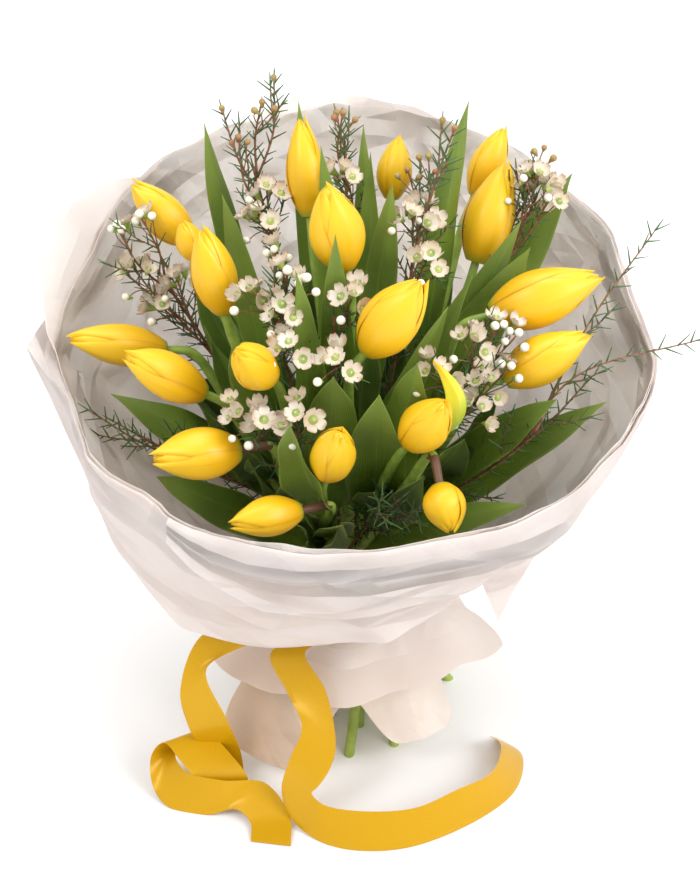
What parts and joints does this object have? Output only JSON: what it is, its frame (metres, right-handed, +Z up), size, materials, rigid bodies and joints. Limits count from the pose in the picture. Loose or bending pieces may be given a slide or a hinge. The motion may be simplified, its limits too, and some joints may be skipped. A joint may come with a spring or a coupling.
{
  "type": "bunch of tulips",
  "caption": "Hand-tied bunch of yellow tulips with waxflower sprays, in a frosted paper wrap tied with a yellow satin ribbon, standing on its splayed stems.",
  "frame": {"origin": "centre of the middle stem's cut end, on the surface that the bunch stands on", "axes": "+Z up, +X to the right and -Y towards the viewer as the bunch faces"},
  "size_m": [0.4025, 0.3629, 0.4286],
  "materials": {
    "petal": "satin",
    "leaf": "satin",
    "waxflower": "matte",
    "wrap_paper": "satin",
    "twine": "matte",
    "ribbon": "gloss"
  },
  "bodies": {
    "root": {"bloom_01": "petal", "bloom_02": "petal", "bloom_03": "petal", "bloom_04": "petal", "bloom_05": "petal", "bloom_06": "petal", "bloom_07": "petal", "bloom_08": "petal", "bloom_09": "petal", "bloom_10": "petal", "bloom_11": "petal", "bloom_12": "petal", "bloom_13": "petal", "bloom_14": "petal", "bloom_15": "petal", "bloom_16": "petal", "bloom_17": "petal", "bloom_18": "petal", "bloom_19": "petal", "leafy_stem_01": "leaf", "leafy_stem_02": "leaf", "leafy_stem_03": "leaf", "leafy_stem_04": "leaf", "leafy_stem_05": "leaf", "leafy_stem_06": "leaf", "leafy_stem_07": "leaf", "leafy_stem_08": "leaf", "leafy_stem_09": "leaf", "leafy_stem_10": "leaf", "leafy_stem_11": "leaf", "leafy_stem_12": "leaf", "leafy_stem_13": "leaf", "leafy_stem_14": "leaf", "leafy_stem_15": "leaf", "leafy_stem_16": "leaf", "leafy_stem_17": "leaf", "leafy_stem_18": "leaf", "leafy_stem_19": "leaf", "spray_01": "waxflower", "spray_02": "waxflower", "spray_03": "waxflower", "spray_04": "waxflower", "spray_05": "waxflower", "spray_06": "waxflower", "spray_07": "waxflower", "spray_08": "waxflower", "spray_09": "waxflower", "spray_10": "waxflower", "spray_11": "waxflower", "spray_12": "waxflower", "wrap_inner": "wrap_paper", "wrap_back": "wrap_paper", "wrap_outer": "wrap_paper", "wrap_skirt": "wrap_paper", "stem_tie": "twine", "ribbon_waist": "ribbon", "ribbon_tail_left": "ribbon", "ribbon_tail_right": "ribbon"}
  },
  "joints": []
}
